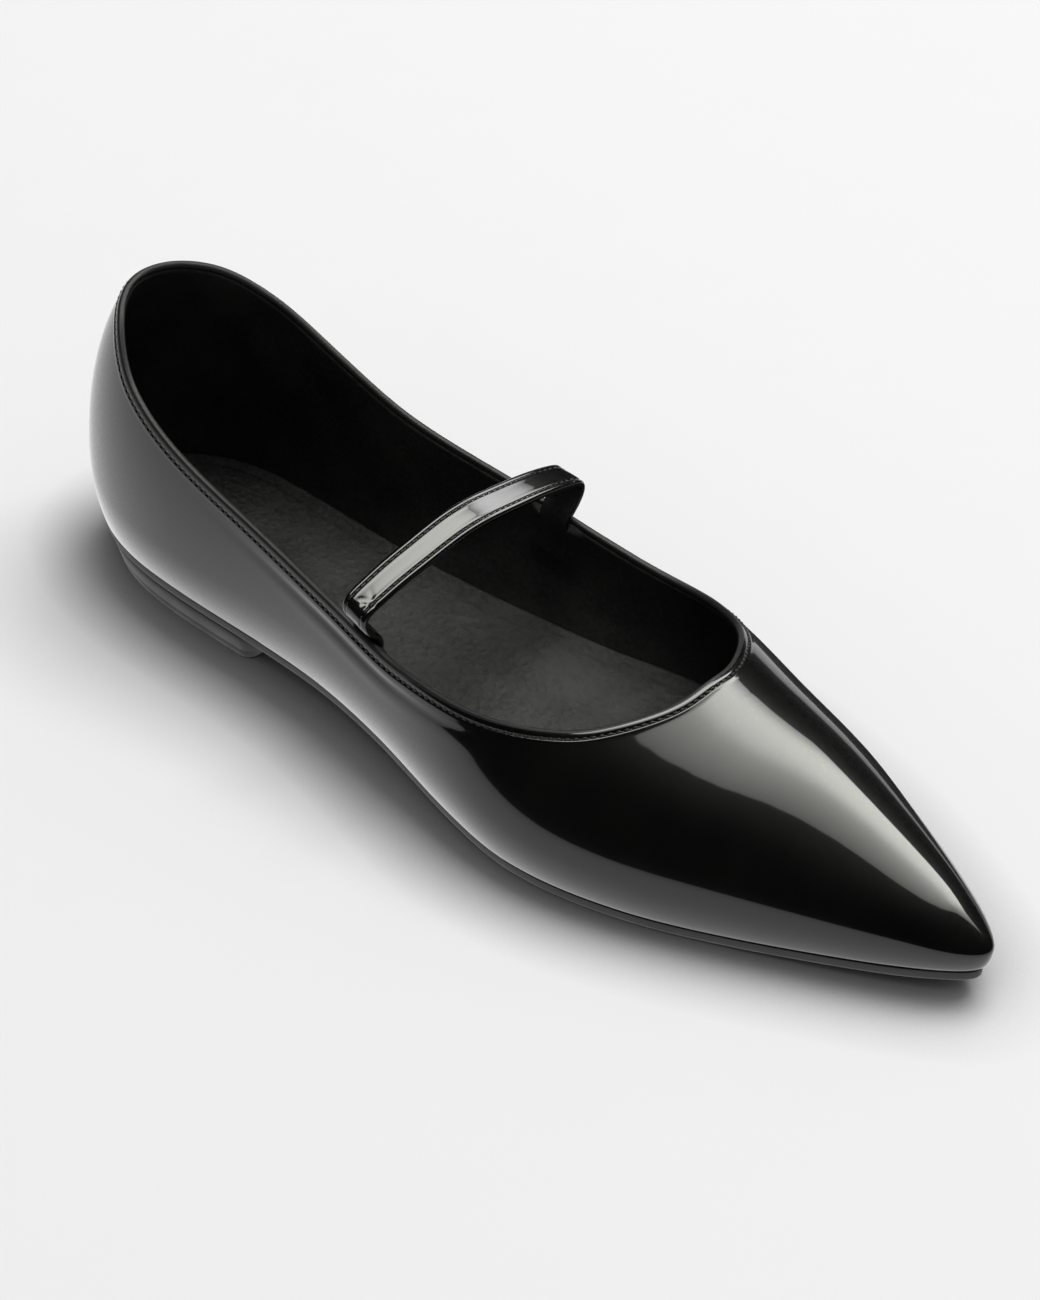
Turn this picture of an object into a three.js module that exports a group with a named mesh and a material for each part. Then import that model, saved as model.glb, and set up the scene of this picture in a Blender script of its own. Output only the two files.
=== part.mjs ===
// Pointed flat shoe with a thin instep strap: the right shoe of a pair.
// Millimetres. X runs from heel to toe, Y towards the inner side of the foot, Z up from the floor.
import * as THREE from "three";

// Main sizes
const length = 266;
const ballWidth = 78;
const backHeight = 74;
const vampHeight = 42;
const wall = 1.8;
const gap = 0.3;

// Sole and heel
const soleThickness = 2.6;
const soleInset = 0.6;
const soleChamfer = 0.6;
const heelLift = 6.5;
const heelLength = 68;
const heelInset = 0.5;
const heelTaper = 0.5;
const heelBackTaper = 3.5;
const heelCorner = 3;
const toeSpring = 4.85;
const insoleThickness = 3.5;
const insoleGap = 0.5;

// Strap
const strapCentre = 114.5;
const strapWidth = 8;
const strapThickness = 1.6;
const strapTuck = 11;
const strapCrown = 52.1;
const strapTilt = 2.5;
const strapStandOff = 0.3;
const strapRound = 0.5;
const strapBendHeight = 8;
const strapBendOut = 6;

// Lines of the mesh on each side, and rows from the sole to the top line
const quarterLines = 22;
const throatLines = 22;
const toeLines = 18;
const rows = 13;
const heelLines = 18;
const cornerLines = 5;
const strapSteps = 56;

// Outline of the sole: along as a share of length, half widths as shares of the ball width
const outline = [
  { along: 0.03, lateral: 0.19, medial: 0.19 },
  { along: 0.1, lateral: 0.298, medial: 0.292 },
  { along: 0.22, lateral: 0.335, medial: 0.299 },
  { along: 0.35, lateral: 0.356, medial: 0.294 },
  { along: 0.44, lateral: 0.404, medial: 0.333 },
  { along: 0.52, lateral: 0.464, medial: 0.4 },
  { along: 0.6, lateral: 0.505, medial: 0.488 },
  { along: 0.65, lateral: 0.502, medial: 0.5 },
  { along: 0.71, lateral: 0.463, medial: 0.457 },
  { along: 0.78, lateral: 0.383, medial: 0.392 },
  { along: 0.86, lateral: 0.268, medial: 0.29 },
  { along: 0.93, lateral: 0.159, medial: 0.181 },
  { along: 0.98, lateral: 0.067, medial: 0.082 },
];
const tipOffset = 0.009 * ballWidth;

// Underside of the sole: shares of the heel lift and of the toe spring
const underside = [
  { along: 0, heel: 1, toe: 0 },
  { along: 0.24, heel: 0.97, toe: 0 },
  { along: 0.34, heel: 0.95, toe: 0 },
  { along: 0.44, heel: 0.74, toe: 0 },
  { along: 0.54, heel: 0.28, toe: 0 },
  { along: 0.62, heel: 0, toe: 0 },
  { along: 0.73, heel: 0, toe: 0 },
  { along: 0.82, heel: 0, toe: 0.18 },
  { along: 0.92, heel: 0, toe: 0.55 },
  { along: 1, heel: 0, toe: 1 },
];

// Ridge over the instep: side offset as a share of ball width, height as a share of vamp height
const ridge = [
  { along: 0.1, offset: 0, height: 2.45 },
  { along: 0.25, offset: 0.012, height: 2.18 },
  { along: 0.38, offset: 0.038, height: 1.93 },
  { along: 0.5, offset: 0.05, height: 1.57 },
  { along: 0.6, offset: 0.05, height: 1.24 },
  { along: 0.7, offset: 0.035, height: 1 },
  { along: 0.8, offset: 0.029, height: 0.814 },
  { along: 0.9, offset: 0.017, height: 0.605 },
  { along: 0.965, offset: 0.01, height: 0.469 },
];

// Widest line of the wall: height over the sole and bulge past it, on each side
const widest = [
  { along: 0, lateralRise: 0.48, lateralBulge: 0.026, medialRise: 0.48, medialBulge: 0.026 },
  { along: 0.1, lateralRise: 0.405, lateralBulge: 0.056, medialRise: 0.395, medialBulge: 0.047 },
  { along: 0.25, lateralRise: 0.4, lateralBulge: 0.057, medialRise: 0.465, medialBulge: 0.067 },
  { along: 0.38, lateralRise: 0.4, lateralBulge: 0.056, medialRise: 0.61, medialBulge: 0.126 },
  { along: 0.5, lateralRise: 0.345, lateralBulge: 0.044, medialRise: 0.465, medialBulge: 0.101 },
  { along: 0.62, lateralRise: 0.28, lateralBulge: 0.039, medialRise: 0.285, medialBulge: 0.041 },
  { along: 0.75, lateralRise: 0.235, lateralBulge: 0.032, medialRise: 0.217, medialBulge: 0.031 },
  { along: 0.88, lateralRise: 0.19, lateralBulge: 0.025, medialRise: 0.182, medialBulge: 0.025 },
  { along: 1, lateralRise: 0.134, lateralBulge: 0.019, medialRise: 0.134, medialBulge: 0.019 },
];

// Fullness of the section over the widest line: 2 is an ellipse, less is nearer to a roof
const fullness = [
  { along: 0, power: 2 },
  { along: 0.5, power: 2 },
  { along: 0.65, power: 1.8 },
  { along: 0.8, power: 1.9 },
  { along: 1, power: 2.1 },
];

// Top line: heights as shares of the back height
const topLine = [
  { along: 0, lateral: 1, medial: 1 },
  { along: 0.04, lateral: 0.966, medial: 0.986 },
  { along: 0.12, lateral: 0.818, medial: 0.9 },
  { along: 0.2, lateral: 0.703, medial: 0.764 },
  { along: 0.28, lateral: 0.622, medial: 0.635 },
  { along: 0.38, lateral: 0.541, medial: 0.534 },
  { along: 0.48, lateral: 0.486, medial: 0.459 },
  { along: 0.56, lateral: 0.486, medial: 0.426 },
  { along: 0.64, lateral: 0.489, medial: 0.454 },
  { along: 0.7, lateral: 0.52, medial: 0.52 },
];

// Bend of the strap over the collar: shares of the bend's height and of its reach outwards
const strapBend = [
  { up: 0.33, out: 0.5 },
  { up: 0.72, out: 0.86 },
  { up: 1, out: 1 },
];

// Arch of the strap: share of the half width, and of the rise from the bend to the crown
const strapArch = [
  { across: 0.9, up: 0.45 },
  { across: 0.5, up: 0.76 },
];

// Throat: its front, and on each side where the corner starts and how square it is
const throat = 0.696 * length;
const corner = {
  lateral: { start: 0.528 * length, square: 3.75 },
  medial: { start: 0.548 * length, square: 3.3 },
};

// Where the mesh starts to fan out, and where its line to the middle of the throat starts
const fanStart = 0.45 * length;
const fanFront = 0.8 * length;

// Centres that the sections turn about at the heel and at the toe, with their soft stretches
const heelPivot = 0.173 * length;
const heelSoft = 14;
const toePivot = 0.962 * length;
const toeSoft = 5;
const toeTilt = 25;

// Share of a section that lies under its widest line
const lowerShare = 0.34;

// Natural cubic spline through the points xs, ys
function spline(xs, ys) {
  const n = xs.length;
  const h = xs.slice(1).map((x, i) => x - xs[i]);
  const bend = new Array(n).fill(0);
  const upper = new Array(n).fill(0);
  for (let i = 1; i < n - 1; i += 1) {
    const rise = (ys[i + 1] - ys[i]) / h[i] - (ys[i] - ys[i - 1]) / h[i - 1];
    const pivot = 2 * (h[i - 1] + h[i]) - h[i - 1] * upper[i - 1];
    upper[i] = h[i] / pivot;
    bend[i] = (6 * rise - h[i - 1] * bend[i - 1]) / pivot;
  }
  for (let i = n - 2; i > 0; i -= 1) {
    bend[i] -= upper[i] * bend[i + 1];
  }
  return (at) => {
    const x = Math.min(Math.max(at, xs[0]), xs[n - 1]);
    let i = 0;
    while (i < n - 2 && x > xs[i + 1]) {
      i += 1;
    }
    const a = (xs[i + 1] - x) / h[i];
    const b = (x - xs[i]) / h[i];
    const curve = (a * a * a - a) * bend[i] + (b * b * b - b) * bend[i + 1];
    return a * ys[i] + b * ys[i + 1] + (curve * h[i] * h[i]) / 6;
  };
}

// Curve through the points that never swings past them, flat at its start and between equal heights
function levelCurve(xs, ys) {
  const n = xs.length;
  const step = xs.slice(1).map((x, i) => x - xs[i]);
  const rise = step.map((h, i) => (ys[i + 1] - ys[i]) / h);
  const slope = ys.map((y, i) => {
    if (i === 0 || i === n - 1 || rise[i - 1] * rise[i] <= 0) {
      return 0;
    }
    const before = 2 * step[i] + step[i - 1];
    const after = step[i] + 2 * step[i - 1];
    return (before + after) / (before / rise[i - 1] + after / rise[i]);
  });
  slope[n - 1] = rise[n - 2];
  return (at) => {
    const x = Math.min(Math.max(at, xs[0]), xs[n - 1]);
    let i = 0;
    while (i < n - 2 && x > xs[i + 1]) {
      i += 1;
    }
    const h = step[i];
    const s = (x - xs[i]) / h;
    const start = (1 + 2 * s) * (1 - s) * (1 - s) * ys[i] + s * (1 - s) * (1 - s) * h * slope[i];
    return start + s * s * (3 - 2 * s) * ys[i + 1] + s * s * (s - 1) * h * slope[i + 1];
  };
}

function column(table, name, size, curve = spline) {
  return curve(table.map((row) => row.along * length), table.map((row) => row[name] * size));
}

const softMax = (a, b, soft) => 0.5 * (a + b + Math.hypot(a - b, soft));
const softMin = (a, b, soft) => 0.5 * (a + b - Math.hypot(a - b, soft));

// A turn of 0 is the back of the heel and a turn of 1 the tip of the toe
const alongOf = (turn) => (length * (1 - Math.cos(Math.PI * turn))) / 2;
const turnOf = (x) => Math.acos(Math.min(Math.max(1 - (2 * x) / length, -1), 1)) / Math.PI;

const heelShare = column(underside, "heel", heelLift, levelCurve);
const toeShare = column(underside, "toe", toeSpring, levelCurve);
const treadHeight = (x) => heelShare(x) + toeShare(x);
const ridgeOffset = column(ridge, "offset", ballWidth);
const ridgeHeight = column(ridge, "height", vampHeight);
const power = column(fullness, "power", 1, levelCurve);

function sideCurves(name, sign) {
  const turns = [0, ...outline.map((row) => turnOf(row.along * length)), 1];
  const halves = [0, ...outline.map((row) => row[name] * ballWidth), sign * tipOffset];
  return {
    sign,
    half: spline(turns, halves),
    rise: column(widest, `${name}Rise`, vampHeight),
    bulge: column(widest, `${name}Bulge`, ballWidth),
    top: column(topLine, name, backHeight, levelCurve),
    corner: corner[name],
  };
}
const sides = { lateral: sideCurves("lateral", -1), medial: sideCurves("medial", 1) };

// What a section needs: its foot on the sole's edge, its ridge point, its direction and widths
function section(side, turn) {
  const x = alongOf(turn);
  const y = side.sign * side.half(turn);
  const ridgeX = softMin(softMax(x, heelPivot, heelSoft), toePivot, toeSoft);
  const ridgeY = ridgeOffset(ridgeX);
  const reach = Math.hypot(x - ridgeX, y - ridgeY);
  const footZ = treadHeight(x) + soleThickness + gap;
  return {
    x,
    ridgeX,
    ridgeY,
    ridgeZ: ridgeHeight(ridgeX),
    towardX: (x - ridgeX) / reach,
    towardY: (y - ridgeY) / reach,
    reach,
    footZ,
    rise: side.rise(x),
    bulge: side.bulge(x),
    power: power(x),
    slope: ridgeHeight(ridgeX + 0.5) - ridgeHeight(ridgeX - 0.5),
    tilt: Math.min(Math.max((x - toePivot + toeTilt) / toeTilt, 0), 1),
  };
}

// A point of a section's plane, out from the ridge and up from the floor
function place(cut, out, z) {
  return [cut.ridgeX + cut.towardX * out, cut.ridgeY + cut.towardY * out, z];
}

// Outer face of the last: a share of 0 is the sole's edge and a share of 1 the ridge
function lastPoint(cut, share) {
  const width = cut.reach + cut.bulge;
  const widestZ = cut.footZ + cut.rise;
  if (share < lowerShare) {
    const down = 1 - share / lowerShare;
    return place(cut, width - cut.bulge * down * down, widestZ - cut.rise * down);
  }
  const angle = (((share - lowerShare) / (1 - lowerShare)) * Math.PI) / 2;
  const c = Math.max(Math.cos(angle), 0);
  const s = Math.sin(angle);
  const round = (c ** cut.power + s ** cut.power) ** (-1 / cut.power);
  const out = width * c * round;
  const tilt = cut.slope * cut.towardX * out * s * cut.tilt;
  return place(cut, out, widestZ + (cut.ridgeZ - widestZ) * s * round + tilt);
}

// Share of a section at which it reaches a height
function shareAt(cut, z) {
  let low = 0;
  let high = 1;
  for (let i = 0; i < 40; i += 1) {
    const middle = (low + high) / 2;
    if (lastPoint(cut, middle)[2] < z) {
      low = middle;
    } else {
      high = middle;
    }
  }
  return low;
}

// The top line on one side, from where the mesh starts to fan out to the middle of the throat
function throatEdge(side) {
  const { start, square } = side.corner;
  const steps = 200;
  const edge = [];
  const add = (x, round) => {
    const turn = turnOf(x);
    const cut = section(side, turn);
    const low = shareAt(cut, side.top(x));
    const share = low + (1 - low) * round;
    edge.push({ turn, share, point: new THREE.Vector3(...lastPoint(cut, share)) });
  };
  for (let i = 0; i < steps; i += 1) {
    add(fanStart + ((start - fanStart) * i) / steps, 0);
  }
  for (let i = 0; i <= steps; i += 1) {
    const angle = ((i / steps) * Math.PI) / 2;
    const c = i === steps ? 0 : Math.cos(angle);
    add(start + (throat - start) * Math.sin(angle) ** (2 / square), 1 - c ** (2 / square));
  }
  return edge;
}

// Places on an edge at even distances along it
function evenPlaces(edge, count) {
  const distance = [0];
  for (let i = 1; i < edge.length; i += 1) {
    distance.push(distance[i - 1] + edge[i].point.distanceTo(edge[i - 1].point));
  }
  const places = [];
  let at = 1;
  for (let k = 1; k <= count; k += 1) {
    const want = (distance[distance.length - 1] * k) / count;
    while (at < edge.length - 1 && distance[at] < want) {
      at += 1;
    }
    const mix = (want - distance[at - 1]) / (distance[at] - distance[at - 1]);
    const [before, after] = [edge[at - 1], edge[at]];
    places.push({
      turn: before.turn + (after.turn - before.turn) * mix,
      share: before.share + (after.share - before.share) * mix,
    });
  }
  return places;
}

// Lines of the mesh from the sole's edge up to the top line, the throat and then the ridge
const fanTurn = turnOf(fanStart);
const frontTurn = turnOf(fanFront);
const footTurns = [];
for (let i = 0; i < quarterLines; i += 1) {
  footTurns.push((fanTurn * i) / quarterLines);
}
for (let i = 0; i < throatLines; i += 1) {
  footTurns.push(fanTurn + ((frontTurn - fanTurn) * i) / throatLines);
}
for (let i = 0; i <= toeLines; i += 1) {
  footTurns.push(frontTurn + ((1 - frontTurn) * i) / toeLines);
}

function meshLines(side) {
  const throatTurn = turnOf(throat);
  const places = evenPlaces(throatEdge(side), throatLines);
  return footTurns.map((foot, i) => {
    if (i <= quarterLines) {
      return { foot, top: foot, share: shareAt(section(side, foot), side.top(alongOf(foot))) };
    }
    const past = i - quarterLines - throatLines;
    if (past < 0) {
      const { turn, share } = places[i - quarterLines - 1];
      return { foot, top: turn, share };
    }
    return { foot, top: throatTurn + ((1 - throatTurn) * past) / toeLines, share: 1 };
  });
}

// Collects points and triangles, and joins points that lie in one place
class Skin {
  constructor() {
    this.points = [];
    this.triangles = [];
    this.found = new Map();
  }

  point(p) {
    const key = p.map((v) => Math.round(v * 1000)).join(" ");
    if (!this.found.has(key)) {
      this.found.set(key, this.points.length);
      this.points.push(p);
    }
    return this.found.get(key);
  }

  triangle(a, b, c) {
    if (a !== b && b !== c && c !== a) {
      this.triangles.push([a, b, c]);
    }
  }

  quad(a, b, c, d) {
    this.triangle(a, b, c);
    this.triangle(a, c, d);
  }

  // Joins two lines of points of one length into a band
  band(first, second) {
    for (let i = 0; i + 1 < first.length; i += 1) {
      this.quad(first[i], first[i + 1], second[i + 1], second[i]);
    }
  }

  geometry() {
    let volume = 0;
    for (const [a, b, c] of this.triangles) {
      const [p, q, r] = [a, b, c].map((i) => new THREE.Vector3(...this.points[i]));
      volume += p.dot(q.cross(r));
    }
    const faces = volume > 0 ? this.triangles : this.triangles.map(([a, b, c]) => [a, c, b]);
    const geometry = new THREE.BufferGeometry();
    geometry.setAttribute("position", new THREE.Float32BufferAttribute(this.points.flat(), 3));
    geometry.setIndex(faces.flat());
    geometry.computeVertexNormals();
    return geometry;
  }
}

// Upper: the last's face from the sole to the top line, given a wall on its inner side
function upperGeometry() {
  const skin = new Skin();
  const inward = new Map();
  for (const side of Object.values(sides)) {
    const lines = meshLines(side).map(({ foot, top, share }) => {
      const line = [];
      for (let row = 0; row <= rows; row += 1) {
        const turn = foot + ((top - foot) * row) / rows;
        line.push(skin.point(lastPoint(section(side, turn), (share * row) / rows)));
      }
      const { towardX, towardY } = section(side, foot);
      inward.set(line[0], [-towardX * wall, -towardY * wall, 0]);
      return side.sign > 0 ? line : line.reverse();
    });
    for (let i = 0; i + 1 < lines.length; i += 1) {
      skin.band(lines[i], lines[i + 1]);
    }
  }
  const outer = skin.triangles.slice();
  const count = skin.points.length;
  const normals = skin.points.map(() => new THREE.Vector3());
  for (const triangle of outer) {
    const [p, q, r] = triangle.map((i) => new THREE.Vector3(...skin.points[i]));
    const normal = q.sub(p).cross(r.sub(p));
    triangle.forEach((i) => normals[i].add(normal));
  }
  let facing = 0;
  for (const [i, move] of inward) {
    facing += normals[i].dot(new THREE.Vector3(...move));
  }
  for (let i = 0; i < count; i += 1) {
    const p = skin.points[i];
    const normal = normals[i].normalize().multiplyScalar(Math.sign(facing) * wall);
    const move = inward.get(i) ?? normal.toArray();
    skin.points.push(p.map((v, axis) => v + move[axis]));
  }
  const edges = new Set(outer.flatMap(([a, b, c]) => [`${a} ${b}`, `${b} ${c}`, `${c} ${a}`]));
  for (const [a, b, c] of outer) {
    skin.triangle(a + count, c + count, b + count);
    for (const [from, to] of [[a, b], [b, c], [c, a]]) {
      if (!edges.has(`${to} ${from}`)) {
        skin.quad(to, from, from + count, to + count);
      }
    }
  }
  return skin.geometry();
}

// Closes a plate between rings of points; each ring is a function of side and turn
function plateGeometry(rings, plateTurns) {
  const skin = new Skin();
  const loops = rings.map((ring) => {
    const [lateral, medial] = [sides.lateral, sides.medial].map((side) =>
      plateTurns.map((turn) => skin.point(ring(side, turn))));
    return { lateral, medial };
  });
  for (let i = 0; i + 1 < loops.length; i += 1) {
    skin.band(loops[i].lateral, loops[i + 1].lateral);
    skin.band(loops[i + 1].medial, loops[i].medial);
    const last = plateTurns.length - 1;
    const [one, two] = [loops[i], loops[i + 1]];
    skin.quad(one.lateral[last], one.medial[last], two.medial[last], two.lateral[last]);
  }
  skin.band(loops[0].medial, loops[0].lateral);
  skin.band(loops[loops.length - 1].lateral, loops[loops.length - 1].medial);
  return skin.geometry();
}

function outsoleGeometry() {
  const ring = (inset, up) => (side, turn) => {
    const cut = section(side, turn);
    return place(cut, cut.reach - inset, treadHeight(cut.x) + up);
  };
  const rings = [
    ring(soleInset, soleThickness),
    ring(soleInset, soleChamfer),
    ring(soleInset + soleChamfer, 0),
  ];
  return plateGeometry(rings, footTurns);
}

// Insole: it lies on the outsole, inside the wall of the upper
function insoleGeometry() {
  const ring = (up) => (side, turn) => {
    const cut = section(side, turn);
    const down = 1 - up / cut.rise;
    const slope = (2 * cut.bulge * down) / cut.rise;
    const inset = (wall + insoleGap) * Math.hypot(1, slope);
    const out = cut.reach + cut.bulge * (1 - down * down) - inset;
    return place(cut, out, cut.footZ + up);
  };
  return plateGeometry([ring(insoleThickness), ring(0)], footTurns);
}

// Heel: a low block under the seat, drawn in a little towards the floor
function heelGeometry() {
  const cornerX = heelLength - heelCorner;
  const heelTurns = [];
  for (let i = 0; i < heelLines; i += 1) {
    heelTurns.push((turnOf(cornerX) * i) / heelLines);
  }
  for (let i = 0; i <= cornerLines; i += 1) {
    heelTurns.push(turnOf(cornerX + heelCorner * Math.sin(((i / cornerLines) * Math.PI) / 2)));
  }
  const ring = (drop) => (side, turn) => {
    const cut = section(side, turn);
    const toBack = Math.max(1 - cut.x / heelPivot, 0);
    const pastCorner = Math.max(cut.x - cornerX, 0);
    const rounding = heelCorner - Math.sqrt(Math.max(heelCorner ** 2 - pastCorner ** 2, 0));
    const taper = (heelTaper + heelBackTaper * toBack * toBack) * drop;
    const top = treadHeight(cut.x) - gap;
    return place(cut, cut.reach - soleInset - heelInset - taper - rounding, top * (1 - drop));
  };
  return plateGeometry([ring(0), ring(0.9), ring(1)], heelTurns);
}

// Distance of the upper's inner face from the middle plane, at a height on a section
function innerFace(side, x, z, clear) {
  const cut = section(side, turnOf(x));
  const low = shareAt(cut, z);
  const here = lastPoint(cut, low);
  const above = lastPoint(cut, low + 0.01);
  const lean = Math.abs((above[1] - here[1]) / (above[2] - here[2]));
  return here[1] - side.sign * (wall + clear) * Math.hypot(1, lean);
}

// Long edge of the strap: up from inside the collar, over the instep and down again
function strapEdge(x, crown) {
  const clear = gap + strapStandOff + strapThickness / 2;
  const half = (side) => {
    const top = side.top(x);
    const edge = innerFace(side, x, top, clear);
    const low = top - strapTuck;
    return [
      [innerFace(side, x, low, clear), low],
      [innerFace(side, x, (top + low) / 2, clear), (top + low) / 2],
      [edge, top],
      ...strapBend.map(({ up, out }) => [
        edge + side.sign * strapBendOut * out,
        top + strapBendHeight * up,
      ]),
      ...strapArch.map(({ across, up }) => [
        edge * across,
        crown - (crown - top - strapBendHeight) * (1 - up),
      ]),
    ];
  };
  const points = [...half(sides.lateral), [0, crown], ...half(sides.medial).reverse()];
  const path = points.map(([y, z]) => new THREE.Vector3(x, y, z));
  return new THREE.CatmullRomCurve3(path, false, "centripetal");
}

function strapGeometry() {
  const heelEdge = strapEdge(strapCentre - strapWidth / 2, strapCrown + strapTilt / 2);
  const toeEdge = strapEdge(strapCentre + strapWidth / 2, strapCrown - strapTilt / 2);
  const t = strapThickness / 2;
  const c = strapRound;
  const skin = new Skin();
  const loops = [];
  for (let i = 0; i <= strapSteps; i += 1) {
    const p = heelEdge.getPointAt(i / strapSteps);
    const q = toeEdge.getPointAt(i / strapSteps);
    const across = q.clone().sub(p).normalize();
    const face = heelEdge.getTangentAt(i / strapSteps).cross(across).normalize();
    const corner = (from, side, up) => skin.point(
      from.clone().addScaledVector(across, side).addScaledVector(face, up).toArray());
    const loop = [
      corner(p, c, -t), corner(p, 0, c - t), corner(p, 0, t - c), corner(p, c, t),
      corner(q, -c, t), corner(q, 0, t - c), corner(q, 0, c - t), corner(q, -c, -t),
    ];
    loops.push([...loop, loop[0]]);
  }
  for (let i = 0; i < strapSteps; i += 1) {
    skin.band(loops[i], loops[i + 1]);
  }
  for (let i = 1; i + 2 < loops[0].length; i += 1) {
    skin.triangle(loops[0][0], loops[0][i + 1], loops[0][i]);
    skin.triangle(loops[strapSteps][0], loops[strapSteps][i], loops[strapSteps][i + 1]);
  }
  return skin.geometry();
}

const shinyBlack = { color: 0x0b0b0c, roughness: 0.12, metalness: 0 };
const dullBlack = { color: 0x1a1a1a, roughness: 0.7, metalness: 0 };
const greyBlack = { color: 0x262624, roughness: 0.8, metalness: 0 };

const group = new THREE.Group();
const pieces = [
  ["upper", upperGeometry(), shinyBlack],
  ["outsole", outsoleGeometry(), dullBlack],
  ["heel", heelGeometry(), dullBlack],
  ["insole", insoleGeometry(), greyBlack],
  ["strap", strapGeometry(), shinyBlack],
];
for (const [name, geometry, look] of pieces) {
  const mesh = new THREE.Mesh(geometry, new THREE.MeshStandardMaterial(look));
  mesh.name = name;
  group.add(mesh);
}

// The origin is on the floor, under the middle of the shoe's box
const box = new THREE.Box3().setFromObject(group, true);
for (const mesh of group.children) {
  mesh.position.set(-(box.min.x + box.max.x) / 2, -(box.min.y + box.max.y) / 2, -box.min.z);
}

export default group;
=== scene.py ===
import math
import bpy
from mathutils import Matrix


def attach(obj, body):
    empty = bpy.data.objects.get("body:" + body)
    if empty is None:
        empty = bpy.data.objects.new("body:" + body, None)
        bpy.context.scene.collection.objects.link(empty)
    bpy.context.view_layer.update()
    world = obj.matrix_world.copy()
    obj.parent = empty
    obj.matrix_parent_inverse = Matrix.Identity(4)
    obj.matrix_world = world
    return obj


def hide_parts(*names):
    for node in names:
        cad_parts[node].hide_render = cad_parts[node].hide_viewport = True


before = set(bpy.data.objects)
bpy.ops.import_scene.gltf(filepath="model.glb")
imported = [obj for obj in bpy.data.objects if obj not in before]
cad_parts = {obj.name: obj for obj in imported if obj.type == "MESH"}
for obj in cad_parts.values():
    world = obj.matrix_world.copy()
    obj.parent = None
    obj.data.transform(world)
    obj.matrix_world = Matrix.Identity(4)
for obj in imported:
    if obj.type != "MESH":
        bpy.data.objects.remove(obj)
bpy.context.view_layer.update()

from types import SimpleNamespace

import bpy
import numpy as np
from mathutils import Matrix, Vector

# Sizes in millimetres: x from heel to toe, y to the inner side of the foot, z up
LENGTH = 266.0
BALL_WIDTH = 78.0
BACK_HEIGHT = 74.0
VAMP_HEIGHT = 42.0
WALL = 1.8
GAP = 0.3
SOLE_THICKNESS = 2.6
SOLE_INSET = 0.6
HEEL_LIFT = 6.5
HEEL_LENGTH = 68.0
HEEL_INSET = 0.5
HEEL_TAPER = 0.5
HEEL_BACK_TAPER = 3.5
HEEL_CORNER = 3.0
TOE_SPRING = 4.85
INSOLE_THICKNESS = 3.5
INSOLE_GAP = 0.5
STRAP_CENTRE = 114.5
STRAP_WIDTH = 8.0
STRAP_THICKNESS = 1.6
STRAP_TUCK = 11.0
STRAP_CROWN = 52.1
STRAP_TILT = 2.5
STRAP_STAND_OFF = 0.3
STRAP_BEND_HEIGHT = 8.0
STRAP_BEND_OUT = 6.0

# From the shoe's own origin, at the back of the sole, to the frame's origin
SHIFT = np.array([-132.723, 0.249, 0.0])

# Outline of the sole: along, lateral and medial half width
OUTLINE = np.array([
    (0.03, 0.19, 0.19), (0.1, 0.298, 0.292), (0.22, 0.335, 0.299), (0.35, 0.356, 0.294),
    (0.44, 0.404, 0.333), (0.52, 0.464, 0.4), (0.6, 0.505, 0.488), (0.65, 0.502, 0.5),
    (0.71, 0.463, 0.457), (0.78, 0.383, 0.392), (0.86, 0.268, 0.29), (0.93, 0.159, 0.181),
    (0.98, 0.067, 0.082),
])
TIP_OFFSET = 0.009 * BALL_WIDTH
# Underside: along, share of the heel lift, share of the toe spring
UNDERSIDE = np.array([
    (0, 1, 0), (0.24, 0.97, 0), (0.34, 0.95, 0), (0.44, 0.74, 0), (0.54, 0.28, 0),
    (0.62, 0, 0), (0.73, 0, 0), (0.82, 0, 0.18), (0.92, 0, 0.55), (1, 0, 1),
])
# Ridge: along, side offset, height
RIDGE = np.array([
    (0.1, 0, 2.45), (0.25, 0.012, 2.18), (0.38, 0.038, 1.93), (0.5, 0.05, 1.57), (0.6, 0.05, 1.24),
    (0.7, 0.035, 1), (0.8, 0.029, 0.814), (0.9, 0.017, 0.605), (0.965, 0.01, 0.469),
])
# Widest line: along, lateral rise and bulge, medial rise and bulge
WIDEST = np.array([
    (0, 0.48, 0.026, 0.48, 0.026), (0.1, 0.405, 0.056, 0.395, 0.047),
    (0.25, 0.4, 0.057, 0.465, 0.067), (0.38, 0.4, 0.056, 0.61, 0.126),
    (0.5, 0.345, 0.044, 0.465, 0.101), (0.62, 0.28, 0.039, 0.285, 0.041),
    (0.75, 0.235, 0.032, 0.217, 0.031), (0.88, 0.19, 0.025, 0.182, 0.025),
    (1, 0.134, 0.019, 0.134, 0.019),
])
# Fullness over the widest line: along, power
FULLNESS = np.array([(0, 2), (0.5, 2), (0.65, 1.8), (0.8, 1.9), (1, 2.1)])
# Top line: along, lateral and medial height
TOP_LINE = np.array([
    (0, 1, 1), (0.04, 0.966, 0.986), (0.12, 0.818, 0.9), (0.2, 0.703, 0.764),
    (0.28, 0.622, 0.635), (0.38, 0.541, 0.534), (0.48, 0.486, 0.459), (0.56, 0.486, 0.426),
    (0.64, 0.489, 0.454), (0.7, 0.52, 0.52),
])
# Strap: shares up and out of its bend, then across and up its arch
STRAP_BEND = [(0.33, 0.5), (0.72, 0.86), (1, 1)]
STRAP_ARCH = [(0.9, 0.45), (0.5, 0.76)]

THROAT = 0.696 * LENGTH
FAN_START = 0.45 * LENGTH
FAN_FRONT = 0.8 * LENGTH
HEEL_PIVOT = 0.173 * LENGTH
HEEL_SOFT = 14.0
TOE_PIVOT = 0.962 * LENGTH
TOE_SOFT = 5.0
TOE_TILT = 25.0
LOWER_SHARE = 0.34


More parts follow.
